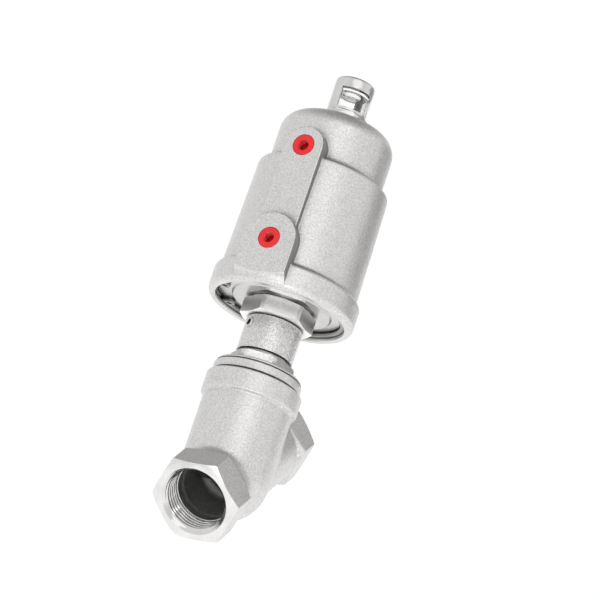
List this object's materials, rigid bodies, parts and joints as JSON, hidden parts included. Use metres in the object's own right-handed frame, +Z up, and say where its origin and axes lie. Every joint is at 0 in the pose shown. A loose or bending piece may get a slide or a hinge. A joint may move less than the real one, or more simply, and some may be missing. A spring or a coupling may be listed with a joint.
{
  "type": "pneumatic angle seat valve",
  "caption": "Y-pattern angle seat valve: threaded hexagonal pipe ends, a leaning neck with a hex nut, a stepped round piston actuator with plugged air ports, and a windowed position indicator.",
  "frame": {"origin": "centre of the inlet port face", "axes": "+X along the pipe from inlet to outlet, +Z up; the stem leans 45 degrees towards the outlet in the XZ plane; the air ports face up and towards the inlet"},
  "size_m": [0.156, 0.0608, 0.1475],
  "materials": {
    "cast_stainless": "blasted investment casting, satin",
    "turned_stainless": "turned and polished",
    "spring_steel": "drawn spring steel",
    "bronze": "turned bronze",
    "ptfe": "white fluoropolymer",
    "rubber": "black elastomer",
    "clear_plastic": "clear moulded polycarbonate",
    "red_plastic": "red moulded polyethylene"
  },
  "bodies": {
    "body_and_neck": {"valve_body": "cast_stainless", "body_gasket": "ptfe", "bonnet": "turned_stainless", "packing_spring": "spring_steel", "packing_washer": "turned_stainless", "packing_ring_1": "ptfe", "packing_ring_2": "ptfe", "packing_ring_3": "ptfe", "gland_nut": "bronze", "stem_wiper": "rubber", "neck_tube": "cast_stainless", "neck_nut": "turned_stainless", "neck_lock_ring": "turned_stainless", "stem_bush": "bronze", "stem_oring": "rubber"},
    "actuator": {"actuator_housing": "cast_stainless", "base_plate": "turned_stainless", "base_plate_oring": "rubber", "neck_oring": "rubber", "snap_ring": "spring_steel", "indicator_base": "turned_stainless", "rod_oring": "rubber", "indicator_hood": "turned_stainless", "indicator_window": "clear_plastic"},
    "stem_and_piston": {"stem": "turned_stainless", "disc": "turned_stainless", "disc_seal": "ptfe", "disc_retainer": "turned_stainless", "disc_nut": "turned_stainless", "piston": "turned_stainless", "piston_seal": "rubber", "piston_guide_ring": "ptfe", "piston_washer": "turned_stainless", "piston_nut": "turned_stainless", "indicator_rod": "turned_stainless", "outer_spring": "spring_steel", "inner_spring": "spring_steel"},
    "upper_plug": {"upper_port_plug": "red_plastic"},
    "lower_plug": {"lower_port_plug": "red_plastic"}
  },
  "joints": [
    {"name": "actuator_turn", "type": "hinge", "parent": "body_and_neck", "child": "actuator", "pos_m": [0.027, 0, 0], "axis": [0.7071, 0, 0.7071], "continuous": true},
    {"name": "stem_lift", "type": "slide", "parent": "body_and_neck", "child": "stem_and_piston", "axis": [0.7071, 0, 0.7071], "range_m": [0, 0.009], "stiffness_N_per_m": 4000, "springref_m": -0.01, "deforming": ["outer_spring", "inner_spring"]},
    {"name": "upper_plug_out", "type": "slide", "parent": "actuator", "child": "upper_plug", "axis": [-0.7071, 0, 0.7071], "range_m": [0, 0.015]},
    {"name": "lower_plug_out", "type": "slide", "parent": "actuator", "child": "lower_plug", "axis": [-0.7071, 0, 0.7071], "range_m": [0, 0.015]}
  ]
}
